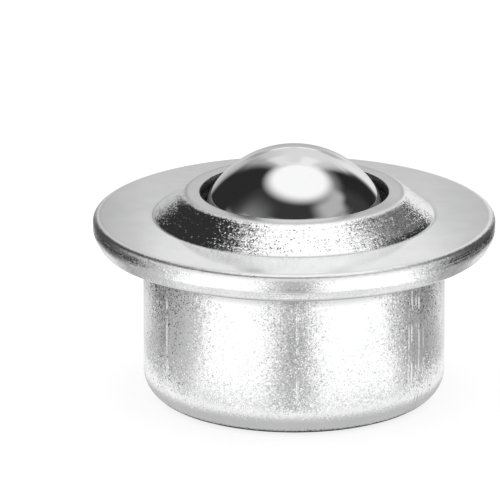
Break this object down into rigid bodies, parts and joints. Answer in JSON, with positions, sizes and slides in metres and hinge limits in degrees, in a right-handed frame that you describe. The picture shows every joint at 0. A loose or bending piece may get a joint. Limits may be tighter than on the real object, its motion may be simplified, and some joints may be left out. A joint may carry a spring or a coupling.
{
  "type": "ball transfer unit",
  "caption": "Flanged drop-in ball transfer unit: a load ball that rolls any way on small balls in a pressed steel cup with a rolled cover.",
  "frame": {"origin": "on the axis, in the plane of the rolled flange's underside, which seats on the deck", "axes": "+Z along the unit's axis, towards the load ball; +X and +Y are free, since the unit is round"},
  "size_m": [0.032, 0.032, 0.0205],
  "materials": {
    "zinc_plated_steel": "bright zinc plate, satin with a fine speckle",
    "hardened_steel": "hardened and ground",
    "spring_steel": "stamped, plain",
    "grey_felt": "dense wool felt, oiled",
    "polished_ball_steel": "mirror polished",
    "support_ball_steel": "mirror polished"
  },
  "bodies": {
    "housing": {"housing_cup": "zinc_plated_steel", "top_cover": "zinc_plated_steel", "bearing_cup": "hardened_steel", "ball_retainer": "spring_steel", "felt_seal": "grey_felt"},
    "support_balls": {"support_ball_01": "support_ball_steel", "support_ball_02": "support_ball_steel", "support_ball_03": "support_ball_steel", "support_ball_04": "support_ball_steel", "support_ball_05": "support_ball_steel", "support_ball_06": "support_ball_steel", "support_ball_07": "support_ball_steel", "support_ball_08": "support_ball_steel", "support_ball_09": "support_ball_steel", "support_ball_10": "support_ball_steel", "support_ball_11": "support_ball_steel", "support_ball_12": "support_ball_steel", "support_ball_13": "support_ball_steel", "support_ball_14": "support_ball_steel", "support_ball_15": "support_ball_steel", "support_ball_16": "support_ball_steel", "support_ball_17": "support_ball_steel", "support_ball_18": "support_ball_steel", "support_ball_19": "support_ball_steel", "support_ball_20": "support_ball_steel", "support_ball_21": "support_ball_steel", "support_ball_22": "support_ball_steel", "support_ball_23": "support_ball_steel", "support_ball_24": "support_ball_steel", "support_ball_25": "support_ball_steel", "support_ball_26": "support_ball_steel", "support_ball_27": "support_ball_steel", "support_ball_28": "support_ball_steel", "support_ball_29": "support_ball_steel", "support_ball_30": "support_ball_steel", "support_ball_31": "support_ball_steel", "support_ball_32": "support_ball_steel", "support_ball_33": "support_ball_steel", "support_ball_34": "support_ball_steel", "support_ball_35": "support_ball_steel", "support_ball_36": "support_ball_steel", "support_ball_37": "support_ball_steel", "support_ball_38": "support_ball_steel", "support_ball_39": "support_ball_steel", "support_ball_40": "support_ball_steel", "support_ball_41": "support_ball_steel", "support_ball_42": "support_ball_steel", "support_ball_43": "support_ball_steel", "support_ball_44": "support_ball_steel", "support_ball_45": "support_ball_steel", "support_ball_46": "support_ball_steel", "support_ball_47": "support_ball_steel", "support_ball_48": "support_ball_steel", "support_ball_49": "support_ball_steel", "support_ball_50": "support_ball_steel", "support_ball_51": "support_ball_steel", "support_ball_52": "support_ball_steel", "support_ball_53": "support_ball_steel", "support_ball_54": "support_ball_steel"},
    "load_ball": {"load_ball": "polished_ball_steel"}
  },
  "joints": [
    {"name": "support_ball_travel", "type": "hinge", "parent": "housing", "child": "support_balls", "pos_m": [0, 0, 0.00006], "axis": [0, 0, 1], "continuous": true},
    {"name": "load_ball_roll", "type": "hinge", "parent": "support_balls", "child": "load_ball", "pos_m": [0, 0, 0.00006], "axis": [0, 1, 0], "continuous": true}
  ]
}
